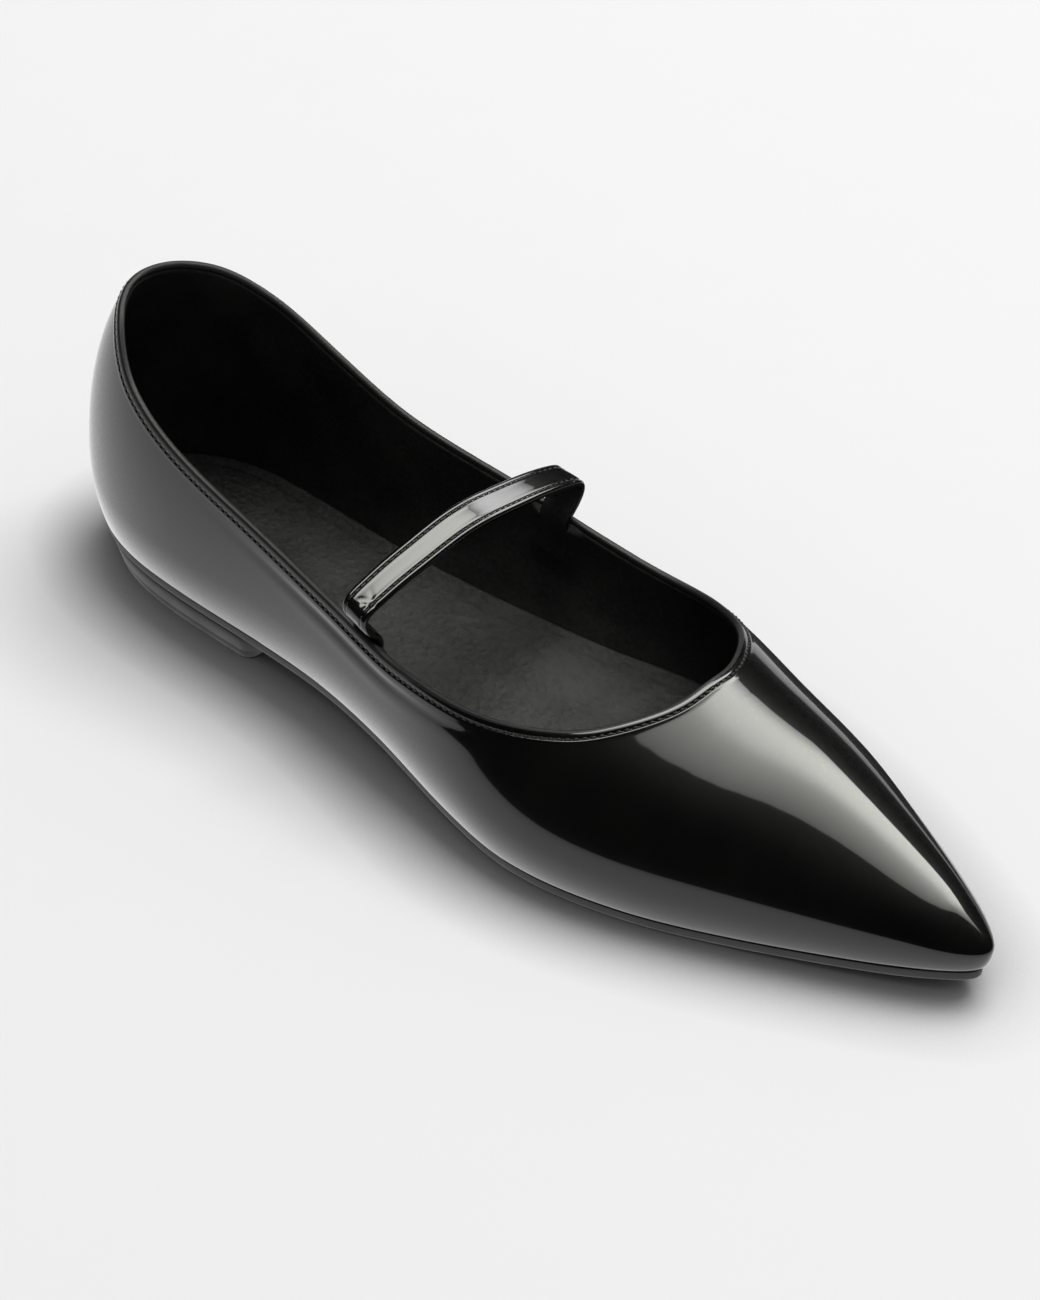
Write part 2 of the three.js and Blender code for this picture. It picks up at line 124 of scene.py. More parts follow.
# Natural cubic spline
def spline(xs, ys):
    n = len(xs)
    h = np.diff(xs)
    bend, over = np.zeros(n), np.zeros(n)
    for i in range(1, n - 1):
        rise = (ys[i + 1] - ys[i]) / h[i] - (ys[i] - ys[i - 1]) / h[i - 1]
        pivot = 2 * (h[i - 1] + h[i]) - h[i - 1] * over[i - 1]
        over[i] = h[i] / pivot
        bend[i] = (6 * rise - h[i - 1] * bend[i - 1]) / pivot
    for i in range(n - 2, 0, -1):
        bend[i] -= over[i] * bend[i + 1]

    def curve(at):
        x = np.clip(at, xs[0], xs[-1])
        i = np.clip(np.searchsorted(xs, x, side="right") - 1, 0, n - 2)
        a, b = (xs[i + 1] - x) / h[i], (x - xs[i]) / h[i]
        curved = (a ** 3 - a) * bend[i] + (b ** 3 - b) * bend[i + 1]
        return a * ys[i] + b * ys[i + 1] + curved * h[i] ** 2 / 6
    return curve


# Curve that never swings past its points and is flat at its start
def level_curve(xs, ys):
    n = len(xs)
    step = np.diff(xs)
    rise = np.diff(ys) / step
    slope = np.zeros(n)
    for i in range(1, n - 1):
        if rise[i - 1] * rise[i] > 0:
            before, after = 2 * step[i] + step[i - 1], step[i] + 2 * step[i - 1]
            slope[i] = (before + after) / (before / rise[i - 1] + after / rise[i])
    slope[-1] = rise[-1]

    def curve(at):
        x = np.clip(at, xs[0], xs[-1])
        i = np.clip(np.searchsorted(xs, x, side="right") - 1, 0, n - 2)
        h = step[i]
        s = (x - xs[i]) / h
        start = (1 + 2 * s) * (1 - s) ** 2 * ys[i] + s * (1 - s) ** 2 * h * slope[i]
        return start + s * s * (3 - 2 * s) * ys[i + 1] + s * s * (s - 1) * h * slope[i + 1]
    return curve


def column(rows, k, size, curve=spline):
    return curve(rows[:, 0] * LENGTH, rows[:, k] * size)


def soft_max(a, b, soft):
    return 0.5 * (a + b + np.hypot(a - b, soft))


def soft_min(a, b, soft):
    return 0.5 * (a + b - np.hypot(a - b, soft))


def smooth(t):
    t = np.clip(t, 0, 1)
    return t * t * (3 - 2 * t)


def hump(x, middle, width):
    return np.exp(-((x - middle) / width) ** 2)


def humps(x, rows):
    return sum(rise * hump(x, middle, width) for rise, middle, width in rows)


# A turn of 0 is the back of the heel and a turn of 1 the tip of the toe
def along_of(turn):
    return LENGTH * (1 - np.cos(np.pi * turn)) / 2


def turn_of(x):
    return np.arccos(np.clip(1 - 2 * x / LENGTH, -1, 1)) / np.pi


heel_share = column(UNDERSIDE, 1, HEEL_LIFT, level_curve)
toe_share = column(UNDERSIDE, 2, TOE_SPRING, level_curve)
ridge_offset = column(RIDGE, 1, BALL_WIDTH)
ridge_height = column(RIDGE, 2, VAMP_HEIGHT)
fullness = column(FULLNESS, 1, 1, level_curve)


def tread_height(x):
    return heel_share(x) + toe_share(x)


def side_curves(k, sign, start, square):
    turns = np.concatenate([[0], turn_of(OUTLINE[:, 0] * LENGTH), [1]])
    halves = np.concatenate([[0], OUTLINE[:, k] * BALL_WIDTH, [sign * TIP_OFFSET]])
    return SimpleNamespace(
        sign=sign, half=spline(turns, halves), start=start * LENGTH, square=square,
        rise=column(WIDEST, 2 * k - 1, VAMP_HEIGHT), bulge=column(WIDEST, 2 * k, BALL_WIDTH),
        top=column(TOP_LINE, k, BACK_HEIGHT, level_curve))


LATERAL = side_curves(1, -1, 0.528, 3.75)
MEDIAL = side_curves(2, 1, 0.548, 3.3)
SIDES = (LATERAL, MEDIAL)


def section(side, turn):
    x = along_of(turn)
    y = side.sign * side.half(turn)
    ridge_x = soft_min(soft_max(x, HEEL_PIVOT, HEEL_SOFT), TOE_PIVOT, TOE_SOFT)
    ridge_y = ridge_offset(ridge_x)
    reach = np.hypot(x - ridge_x, y - ridge_y)
    return SimpleNamespace(
        x=x, ridge_x=ridge_x, ridge_y=ridge_y, ridge_z=ridge_height(ridge_x), reach=reach,
        toward_x=(x - ridge_x) / reach, toward_y=(y - ridge_y) / reach,
        foot_z=tread_height(x) + SOLE_THICKNESS + GAP, rise=side.rise(x), bulge=side.bulge(x),
        power=fullness(x), slope=ridge_height(ridge_x + 0.5) - ridge_height(ridge_x - 0.5),
        tilt=np.clip((x - TOE_PIVOT + TOE_TILT) / TOE_TILT, 0, 1))


def place(cut, out, z):
    z = np.broadcast_to(z, np.shape(cut.ridge_x + out))
    return np.stack([cut.ridge_x + cut.toward_x * out, cut.ridge_y + cut.toward_y * out, z], -1)


# Outer face of the last: a share of 0 is the sole's edge and a share of 1 the ridge
def last_point(cut, share):
    width = cut.reach + cut.bulge
    widest_z = cut.foot_z + cut.rise
    down = np.clip(1 - share / LOWER_SHARE, 0, 1)
    angle = np.clip((share - LOWER_SHARE) / (1 - LOWER_SHARE), 0, 1) * np.pi / 2
    c, s = np.maximum(np.cos(angle), 0), np.sin(angle)
    roundness = (c ** cut.power + s ** cut.power) ** (-1 / cut.power)
    over = width * c * roundness
    upper_z = widest_z + (cut.ridge_z - widest_z) * s * roundness
    upper_z = upper_z + cut.slope * cut.toward_x * over * s * cut.tilt
    low = share < LOWER_SHARE
    out = np.where(low, width - cut.bulge * down ** 2, over)
    return place(cut, out, np.where(low, widest_z - cut.rise * down, upper_z))


def share_at(cut, z):
    low, high = np.zeros(np.shape(cut.x)), np.ones(np.shape(cut.x))
    for _ in range(40):
        middle = (low + high) / 2
        under = last_point(cut, middle)[..., 2] < z
        low, high = np.where(under, middle, low), np.where(under, high, middle)
    return low


# The top line on one side from the start of the fan to the middle of the throat
def throat_edge(side, steps=400):
    angle = np.linspace(0, np.pi / 2, steps)
    cos = np.maximum(np.cos(angle), 0)
    cos[-1] = 0
    rounding = 1 - cos ** (2 / side.square)
    x = side.start + (THROAT - side.start) * np.sin(angle) ** (2 / side.square)
    x = np.concatenate([np.linspace(FAN_START, side.start, steps, endpoint=False), x])
    rounding = np.concatenate([np.zeros(steps), rounding])
    turn = turn_of(x)
    cut = section(side, turn)
    low = share_at(cut, side.top(x))
    share = low + (1 - low) * rounding
    return turn, share, last_point(cut, share)


def distances(points):
    steps = np.linalg.norm(np.diff(points, axis=0), axis=1)
    return np.concatenate([[0], np.cumsum(steps)])


# Mesh lines: rows square to the top line first, then rows down to the sole's edge
QUARTER_LINES = 150
THROAT_LINES = 170
TOE_LINES = 84
RIM = WALL / 2
EDGE_ROWS = np.array([
    RIM, 1.05, 1.25, 1.5, 1.75, 1.95, 2.1, 2.22, 2.35, 2.5, 2.7, 2.9, 3.1, 3.35, 3.7, 4.1,
    4.6, 5.2, 5.8, 6.5, 7.3, 8.2])
MIDDLE_ROWS = 36
FOOT_ROWS = np.array([1.8, 1.4, 1.05, 0.7, 0.35, 0.0])
FOOT_SHARE = 0.2
SAMPLES = 81
STEP = 1e-4


def last_at(side, turn, share):
    return last_point(section(side, turn), share)


def slopes(side, turn, share):
    before, after = np.maximum(turn - STEP, 0), np.minimum(turn + STEP, 1)
    low, high = np.maximum(share - STEP, 0), np.minimum(share + STEP, 1)
    along = (last_at(side, after, share) - last_at(side, before, share)) / (after - before)[:, None]
    up = (last_at(side, turn, high) - last_at(side, turn, low)) / (high - low)[:, None]
    return along, up


def onto_last(side, turn, share, target):
    """Turn and share of the nearest points of the last, from a first guess"""
    for _ in range(5):
        along, up = slopes(side, turn, share)
        rest = target - last_at(side, turn, share)
        aa, uu, au = (along * along).sum(1), (up * up).sum(1), (along * up).sum(1)
        ra, ru = (rest * along).sum(1), (rest * up).sum(1)
        scale = aa * uu - au * au
        turn = np.clip(turn + (ra * uu - ru * au) / scale, 0, 1)
        share = np.clip(share + (ru * aa - ra * au) / scale, 0, 1)
    return turn, share


# Starts of the mesh lines on the top line of one side
def top_starts(side):
    quarter = np.linspace(0, turn_of(FAN_START), QUARTER_LINES, endpoint=False)
    quarter_share = share_at(section(side, quarter), side.top(along_of(quarter)))
    turn, share, edge = throat_edge(side)
    far = distances(edge)
    places = np.linspace(0, far[-1], THROAT_LINES + 1)
    return (np.concatenate([quarter, np.interp(places, far, turn)]),
            np.concatenate([quarter_share, np.interp(places, far, share)]))


def down_the_last(side, turn, share, edge):
    """Directions in the face of the last, square to the top line and away from it"""
    other_side = (1, -1, 1)
    back_twin = edge[1] * other_side
    front_twin = edge[-2] * other_side + (0, 2 * edge[-1, 1], 0)
    closed = np.concatenate([[back_twin], edge, [front_twin]])
    before, after = closed[1:-1] - closed[:-2], closed[2:] - closed[1:-1]
    b, a = np.linalg.norm(before, axis=1)[:, None], np.linalg.norm(after, axis=1)[:, None]
    tangent = before / b * a + after / a * b
    along, up = slopes(side, turn, share)
    down = np.cross(np.cross(along, up), tangent)
    down /= np.linalg.norm(down, axis=1, keepdims=True)
    down *= -np.sign((down * up).sum(1, keepdims=True))
    down[-1] = (1, 0, (ridge_height(THROAT + 1) - ridge_height(THROAT - 1)) / 2)
    return down


def edge_rows(side, turn, share, edge):
    """Rows beside the top line, and the turns and shares of the last row"""
    down = down_the_last(side, turn, share, edge)
    rows = []
    for row in EDGE_ROWS:
        turn, share = onto_last(side, turn, share, edge + down * row)
        if not rows:
            turn[-1] = turn_of(THROAT + row)
        share[-1] = 1.0
        rows.append(last_at(side, turn, share))
    return np.stack(rows, 1), turn, share


def low_lines(side, turn, share):
    """Lines from the last row down to the sole's edge, and the distances from that edge"""
    fan, front = turn_of(FAN_START), turn_of(FAN_FRONT)
    toe = np.linspace(turn[-1], 1, TOE_LINES + 1)[1:]
    foot = np.concatenate([
        np.linspace(0, fan, QUARTER_LINES, endpoint=False), np.linspace(fan, front, THROAT_LINES + 1),
        front + (1 - front) * (toe - turn[-1]) / (1 - turn[-1])])
    turn, share = np.concatenate([turn, toe]), np.concatenate([share, np.ones(TOE_LINES)])
    s = np.linspace(1, 0, SAMPLES)

    def points_at(s):
        return last_at(side, foot[:, None] + (turn - foot)[:, None] * s, share[:, None] * s)

    fine = points_at(s)
    run = np.linalg.norm(np.diff(fine, axis=1), axis=2).cumsum(axis=1)
    run = np.concatenate([np.zeros((len(run), 1)), run], axis=1)
    low, feet = [], []
    for far in run:
        total = far[-1]
        end = total - FOOT_ROWS * min(1, FOOT_SHARE * total / FOOT_ROWS[0])
        stops = np.concatenate([np.linspace(0, end[0], MIDDLE_ROWS + 1)[:-1], end])
        low.append(np.interp(stops, far, s))
        feet.append(total - np.interp(low[-1][::-1], s[::-1], far[::-1])[::-1])
    return points_at(np.array(low)), np.array(feet)


def side_lines(side):
    """Top line, rows beside it, lines down to the sole's edge and their distances from it"""
    turn, share = top_starts(side)
    edge = last_at(side, turn, share)
    rows, turn, share = edge_rows(side, turn, share, edge)
    return edge, rows, *low_lines(side, turn, share)


def nearest(points, edge, batch=4000):
    """Distance of each point from the nearest point of a line"""
    out = np.empty(len(points))
    for k in range(0, len(points), batch):
        gap = points[k:k + batch, None, :] - edge[None]
        out[k:k + batch] = np.sqrt((gap * gap).sum(-1).min(1))
    return out


def ring_of(pair):
    """Both sides' lines as one closed ring, out over the lateral side and home over the medial side"""
    return np.concatenate([pair[0], pair[1][-2:0:-1]])


sides = [side_lines(side) for side in SIDES]
TOP = ring_of([s[0] for s in sides])
EDGE_GRID = ring_of([s[1] for s in sides])
LOW_GRID = ring_of([s[2] for s in sides])
LOW_FEET = ring_of([s[3] for s in sides])
TIP, MIDDLE = len(LOW_GRID) // 2, len(EDGE_GRID) // 2
# The lines under the collar start where its rows end, and the toe's lines start on one shared ridge
LOW_GRID[:MIDDLE + 1, 0] = EDGE_GRID[:MIDDLE + 1, -1]
LOW_GRID[-MIDDLE:, 0] = EDGE_GRID[-MIDDLE:, -1]
LOW_GRID[TIP + 1:TIP + TOE_LINES, 0] = LOW_GRID[TIP - TOE_LINES + 1:TIP, 0][::-1]
LOW_FEET[TIP + 1:TIP + TOE_LINES, 0] = LOW_FEET[TIP - TOE_LINES + 1:TIP, 0][::-1]
RING, LINES = len(EDGE_GRID), len(LOW_GRID)
EDGE_COUNT, LOW_COUNT = len(EDGE_ROWS), LOW_GRID.shape[1]
EDGE_IDS = np.arange(RING * EDGE_COUNT).reshape(RING, EDGE_COUNT)
LOW_IDS = RING * EDGE_COUNT + np.arange(LINES * LOW_COUNT).reshape(LINES, LOW_COUNT)
POINTS = np.concatenate([EDGE_GRID.reshape(-1, 3), LOW_GRID.reshape(-1, 3)])
FAR = 99.0
# Distance of each point from the sole's edge and from the top line
FOOT = np.concatenate([np.full(EDGE_IDS.size, FAR), LOW_FEET.reshape(-1)])
NEAR = np.concatenate([np.tile(EDGE_ROWS, RING), nearest(LOW_GRID.reshape(-1, 3), TOP)])
collar = np.abs(np.arange(LINES) - LINES / 2) > TOE_LINES - 1
NEAR[LOW_IDS[collar, 0]] = EDGE_ROWS[-1]


MERGE_STEPS = 5000


# One vertex for all the points that lie in one place, to a share of a millimetre
def merged(points):
    keys = np.round(points.reshape(-1, 3) * MERGE_STEPS).astype(np.int64)
    _, first, index = np.unique(keys, axis=0, return_index=True, return_inverse=True)
    return first, index.reshape(-1)


def grid_ids(start, lines, rows):
    return start + np.arange(lines)[:, None] * rows + np.arange(rows)[None]


def bands(ids):
    """Quads of a closed ring of lines, each a row of ids"""
    after = np.roll(ids, -1, axis=0)
    return np.stack([ids[:, :-1], ids[:, 1:], after[:, 1:], after[:, :-1]], -1).reshape(-1, 4)


def point_normals(points, faces):
    index = merged(points)[1]
    p = points[faces]
    cross = np.cross(p[:, 2] - p[:, 0], p[:, 3] - p[:, 1])
    sums = np.zeros((index.max() + 1, 3))
    for k in range(4):
        np.add.at(sums, index[faces[:, k]], cross)
    out = sums[index] / np.linalg.norm(sums[index], axis=1, keepdims=True)
    return out * np.sign(((points - points.mean(0)) * out).sum())


NORMALS = point_normals(POINTS, np.concatenate([bands(EDGE_IDS), bands(LOW_IDS)]))


# Relief of the outer face: band at the edge, stitch groove, and soft folds below the strap's ends
STITCH_AT = 2.3
BAND_RISE = 0.06
BAND_END = STITCH_AT - 0.15
FOLD_CENTRE = STRAP_CENTRE - 2
FOLD_REACH = 30
FOOT_TUCK = 0.75
# Rise, distance from the top line and width of each groove and ridge
STITCH_GROOVE = [(-0.22, STITCH_AT, 0.2), (0.07, STITCH_AT + 0.6, 0.4)]
SOFT_FOLDS = [(0.25, 3.6, 1.0), (-0.4, 5.6, 1.1), (0.15, 8.2, 1.8)]


def relief():
    band = BAND_RISE * np.sin(np.pi * np.clip((NEAR - RIM) / (BAND_END - RIM), 0, 1))
    fold = humps(NEAR, SOFT_FOLDS) * smooth(NEAR - RIM)
    return band + humps(NEAR, STITCH_GROOVE) + hump(POINTS[:, 0], FOLD_CENTRE, FOLD_REACH) * fold


def layer(depth):
    """The points of the upper moved in by a depth"""
    return POINTS - NORMALS * np.broadcast_to(depth, len(POINTS))[:, None]


def outer_layer():
    tuck = np.clip(1 - FOOT / FOOT_ROWS[0], 0, 1) ** 2
    points = layer(FOOT_TUCK * tuck - relief())
    points[:, 2] -= GAP * tuck
    return points


RIM_STEPS = 9
RIM_SQUARE = 0.72


def rim_rows():
    """Rows over the folded edge, from the outer face to the inner one"""
    first, normal = POINTS[EDGE_IDS[:, 0]], NORMALS[EDGE_IDS[:, 0]]
    down = first - TOP
    down = down - normal * (down * normal).sum(1, keepdims=True)
    down = down / np.linalg.norm(down, axis=1, keepdims=True)
    rows = []
    for k in range(RIM_STEPS + 1):
        angle = np.pi * k / RIM_STEPS
        c, s = np.cos(angle), np.sin(angle)
        c, s = np.sign(c) * abs(c) ** RIM_SQUARE, abs(s) ** RIM_SQUARE
        rows.append(first - normal * RIM + normal * (RIM * c) - down * (RIM * s))
    return np.stack(rows, 1)


def shell(outer, inner, rim, step=1):
    """A closed shell of an outer and an inner layer, a rim at the top line and a strip at the foot"""
    points = np.concatenate([outer, inner, rim.reshape(-1, 3)])
    count = len(outer)
    few = np.unique(np.append(np.arange(0, EDGE_COUNT, step), EDGE_COUNT - 1))
    fewer = np.unique(np.append(np.arange(0, LOW_COUNT, step), LOW_COUNT - 1))
    bottom = np.stack([LOW_IDS[:, -1] + count, LOW_IDS[:, -1]], 1)
    faces = [bands(EDGE_IDS), bands(LOW_IDS), bands(EDGE_IDS[:, few] + count)[:, ::-1],
             bands(LOW_IDS[:, fewer] + count)[:, ::-1],
             bands(grid_ids(2 * count, *rim.shape[:2]))[:, ::-1], bands(bottom)[:, ::-1]]
    return points, np.concatenate(faces)


# Meshes
BODY = "root"


def piece(name, points, faces, cover, slot, replaces=(), under=None, under_faces=()):
    """A closed mesh; under_faces marks the faces that take the second material"""
    first, index = merged(points)
    rings, marks = [], []
    for number, face in enumerate(index[np.asarray(faces)].tolist()):
        ring = [k for n, k in enumerate(face) if k != face[n - 1]]
        if len(ring) > 2:
            rings.append(ring)
            marks.append(number < len(under_faces) and bool(under_faces[number]))
    solid = points[first]
    quads = np.array([r if len(r) == 4 else r + r[-1:] for r in rings])
    p = solid[quads] - solid.mean(0)
    volume = sum((np.cross(p[:, k], p[:, k + 1]) * p[:, 0]).sum() for k in (1, 2))
    if volume < 0:
        rings = [r[::-1] for r in rings]
    mesh = bpy.data.meshes.new(name)
    mesh.from_pydata(((solid + SHIFT) / 1000).tolist(), [], rings)
    mesh.shade_smooth()
    mesh.materials.append(cover)
    if under:
        mesh.materials.append(under)
        mesh.polygons.foreach_set("material_index", [int(mark) for mark in marks])
    obj = bpy.data.objects.new(name, mesh)
    bpy.context.scene.collection.objects.link(obj)
    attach(obj, BODY)
    if replaces:
        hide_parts(*replaces)
    return obj


# Materials: each has its colour, roughness and bump from noise in the object's own coordinates
def material(name, colour, roughness, **more):
    made = bpy.data.materials.new(name)
    made.use_nodes = True
    nodes, links = made.node_tree.nodes, made.node_tree.links
    shader = nodes["Principled BSDF"]
    shader.inputs["Base Color"].default_value = (*colour, 1)
    shader.inputs["Roughness"].default_value = roughness
    for key, value in more.items():
        shader.inputs[key.replace("_", " ")].default_value = value
    where = nodes.new("ShaderNodeTexCoord")
    return made, nodes, links, shader, where


def noise(nodes, links, where, scale, detail=4.0, rough=0.5):
    made = nodes.new("ShaderNodeTexNoise")
    made.inputs["Scale"].default_value = scale
    made.inputs["Detail"].default_value = detail
    made.inputs["Roughness"].default_value = rough
    links.new(where.outputs["Object"], made.inputs["Vector"])
    return made


def spread(nodes, links, source, low, high, start=0.3, end=0.7):
    made = nodes.new("ShaderNodeMapRange")
    made.inputs["From Min"].default_value = start
    made.inputs["From Max"].default_value = end
    made.inputs["To Min"].default_value = low
    made.inputs["To Max"].default_value = high
    links.new(source, made.inputs["Value"])
    return made.outputs["Result"]


def blended(nodes, links, factor, low, high):
    made = nodes.new("ShaderNodeMix")
    made.data_type = "RGBA"
    made.inputs["A"].default_value = (*low, 1)
    made.inputs["B"].default_value = (*high, 1)
    links.new(factor, made.inputs["Factor"])
    return made.outputs["Result"]


def bump(nodes, links, height, strength, distance, onto=None):
    made = nodes.new("ShaderNodeBump")
    made.inputs["Strength"].default_value = strength
    made.inputs["Distance"].default_value = distance
    links.new(height, made.inputs["Height"])
    if onto:
        links.new(onto, made.inputs["Normal"])
    return made.outputs["Normal"]


def shiny_leather(name):
    made, nodes, links, shader, where = material(
        name, (0.004, 0.004, 0.0042), 0.3, Coat_Weight=1.0, Coat_IOR=1.5, Coat_Roughness=0.045,
        Specular_IOR_Level=0.08)
    wave = noise(nodes, links, where, 45, 2.0)
    fine = noise(nodes, links, where, 900, 3.0)
    colour = blended(nodes, links, spread(nodes, links, wave.outputs["Fac"], 0, 1),
                     (0.0025, 0.0025, 0.0025), (0.0045, 0.0043, 0.004))
    links.new(colour, shader.inputs["Base Color"])
    links.new(spread(nodes, links, fine.outputs["Fac"], 0.26, 0.36), shader.inputs["Roughness"])
    soft = bump(nodes, links, wave.outputs["Fac"], 0.05, 0.001)
    links.new(soft, shader.inputs["Coat Normal"])
    links.new(bump(nodes, links, fine.outputs["Fac"], 0.2, 0.00005, soft), shader.inputs["Normal"])
    return made


def dull_leather(name, low, high, roughness, scale, depth):
    made, nodes, links, shader, where = material(name, low, roughness, Specular_IOR_Level=0.2)
    patches = noise(nodes, links, where, 60, 3.0)
    grain = nodes.new("ShaderNodeTexVoronoi")
    grain.inputs["Scale"].default_value = scale
    links.new(where.outputs["Object"], grain.inputs["Vector"])
    fine = noise(nodes, links, where, scale * 1.7, 5.0, 0.6)
    both = nodes.new("ShaderNodeMath")
    links.new(patches.outputs["Fac"], both.inputs[0])
    links.new(fine.outputs["Fac"], both.inputs[1])
    colour = blended(nodes, links, spread(nodes, links, both.outputs["Value"], 0, 1, 0.8, 1.2), low, high)
    links.new(colour, shader.inputs["Base Color"])
    links.new(spread(nodes, links, fine.outputs["Fac"], roughness - 0.08, roughness + 0.08),
              shader.inputs["Roughness"])
    first = bump(nodes, links, grain.outputs["Distance"], 0.5, depth)
    links.new(bump(nodes, links, fine.outputs["Fac"], 0.6, depth, first), shader.inputs["Normal"])
    return made


def sole_rubber(name, low, high, roughness):
    made, nodes, links, shader, where = material(name, low, roughness)
    patches = noise(nodes, links, where, 120, 4.0)
    fine = noise(nodes, links, where, 1500, 3.0)
    colour = blended(nodes, links, spread(nodes, links, patches.outputs["Fac"], 0, 1), low, high)
    links.new(colour, shader.inputs["Base Color"])
    links.new(spread(nodes, links, patches.outputs["Fac"], roughness - 0.06, roughness + 0.06),
              shader.inputs["Roughness"])
    links.new(bump(nodes, links, fine.outputs["Fac"], 0.5, 0.00012), shader.inputs["Normal"])
    return made


def twisted_thread(name, grey, roughness):
    made, nodes, links, shader, where = material(name, (grey, grey, grey), roughness)
    twist = nodes.new("ShaderNodeTexWave")
    twist.inputs["Scale"].default_value = 1500
    links.new(where.outputs["Object"], twist.inputs["Vector"])
    links.new(bump(nodes, links, twist.outputs["Fac"], 0.5, 0.0001), shader.inputs["Normal"])
    return made


SHINY = shiny_leather("black_high_shine")
LINING = dull_leather("black_lining", (0.009, 0.009, 0.0088), (0.018, 0.018, 0.0172),
                      roughness=0.62, scale=700, depth=0.0002)
SOCK = dull_leather("grey_black_sock", (0.018, 0.018, 0.0176), (0.038, 0.038, 0.0368),
                    roughness=0.58, scale=420, depth=0.0008)
EDGE = dull_leather("folded_edge", (0.012, 0.012, 0.0118), (0.02, 0.02, 0.0195),
                    roughness=0.38, scale=1500, depth=0.00003)
SOLE = sole_rubber("black_sole", (0.012, 0.012, 0.012), (0.02, 0.02, 0.02), 0.5)
HEEL = sole_rubber("black_heel", (0.01, 0.01, 0.01), (0.016, 0.016, 0.016), 0.5)
THREAD = twisted_thread("black_thread", 0.012, 0.45)

# Upper
UPPER_INNER_STEP = 4
points, faces = shell(outer_layer(), layer(WALL), rim_rows(), UPPER_INNER_STEP)
folded = np.zeros(len(faces), bool)
folded[-LINES - RING * RIM_STEPS:-LINES] = True
piece("upper_leather", points, faces, SHINY, "upper", ["upper"], under=EDGE, under_faces=folded)

# Lining: its face stands a little inside the wall, with a folded top edge and room for the strap's ends
LINING_TOP = 1.25
LINING_TOP_AT_STRAP = 0.6
LINING_SUNK = 0.25
LINING_FOLD = 0.75
LINING_BACK = 0.6
LINING_INNER_STEP = 3
STRAP_ROOM = 1.75
STRAP_ROOM_SIDE = 5.5
SOFT_WAVE = 0.18


def lining_depth():
    x, d = POINTS[:, 0], NEAR
    beside = 1 - smooth((np.abs(x - STRAP_CENTRE) - STRAP_WIDTH / 2 + 0.6) / STRAP_ROOM_SIDE)
    starts = LINING_TOP - (LINING_TOP - LINING_TOP_AT_STRAP) * beside
    base = WALL - LINING_SUNK + LINING_FOLD * smooth((d - starts) / 0.5) ** 0.6
    tail = beside * smooth((d - starts) / 1.4) * (1 - smooth((d - STRAP_TUCK + 1) / 7))
    soft = SOFT_WAVE * np.sin(x / 7.0 + 1.2) * np.sin(d / 4.5) * smooth((d - 5) / 6)
    return base + STRAP_ROOM * tail + soft * smooth((FOOT - 4) / 6)


back, face = layer(WALL - LINING_BACK), layer(lining_depth())
lip = np.stack([face[EDGE_IDS[:, 0]], back[EDGE_IDS[:, 0]]], 1)
points, faces = shell(face, back, lip, LINING_INNER_STEP)
piece("lining", points, faces[:, ::-1], LINING, "insole")


# Stitches: short threads along a line, each sunk at its ends
STITCH_PITCH = 1.9
STITCH_GAP = 0.14
STITCH_SUNK = 0.12
THREAD_THICK = 0.56
THREAD_WIDTH = 0.62
THREAD_LIFT = 0.55
THREAD_DEEP = 0.35
THREAD_BLUNT = 0.06
THREAD_AROUND, THREAD_ALONG = 6, 7


def thread_points(at, start, end, thick):
    """Rings of points round one thread, which swells from its ends to its middle"""
    first, last = at(start)[0], at(end)[0]
    direction = (last - first) / np.linalg.norm(last - first)
    points = []
    for m in range(THREAD_ALONG):
        share = m / (THREAD_ALONG - 1)
        p, normal = at(start + (end - start) * share)
        across = np.cross(normal, direction)
        swell = math.sin(math.pi * (THREAD_BLUNT + (1 - 2 * THREAD_BLUNT) * share)) ** 0.5
        lift = thick * (THREAD_LIFT * swell - THREAD_DEEP)
        for k in range(THREAD_AROUND):
            a = 2 * math.pi * k / THREAD_AROUND
            high = lift + thick / 2 * swell * math.sin(a)
            points.append(p + normal * high + across * (thick * THREAD_WIDTH * swell * math.cos(a)))
    return points


def thread_faces(base):
    """Faces round one thread and over its ends, for points that start at a number"""
    faces = []
    for ring in range(base, base + (THREAD_ALONG - 1) * THREAD_AROUND, THREAD_AROUND):
        for k in range(THREAD_AROUND):
            a, b = ring + k, ring + (k + 1) % THREAD_AROUND
            faces.append([a, b, b + THREAD_AROUND, a + THREAD_AROUND])
    a, b, c, d, e, f = range(base, base + THREAD_AROUND)
    faces += [[d, c, b, a], [f, e, d, a]]
    top = (THREAD_ALONG - 1) * THREAD_AROUND
    faces += [[a + top, b + top, c + top, d + top], [a + top, d + top, e + top, f + top]]
    return faces


def thread_row(points, normals, pitch, thick, closed=True):
    if closed:
        points, normals = np.concatenate([points, points[:1]]), np.concatenate([normals, normals[:1]])
    far = distances(points)
    count = max(int(round(far[-1] / pitch)), 1)
    step = far[-1] / count
    verts, faces = [], []

    def at(d):
        p = np.array([np.interp(d, far, points[:, k]) for k in range(3)])
        q = np.array([np.interp(d, far, normals[:, k]) for k in range(3)])
        return p, q / np.linalg.norm(q)

    for n in range(count):
        faces += thread_faces(len(verts))
        verts += thread_points(at, step * (n + STITCH_GAP), step * (n + 1 - STITCH_GAP), thick)
    return np.array(verts), faces


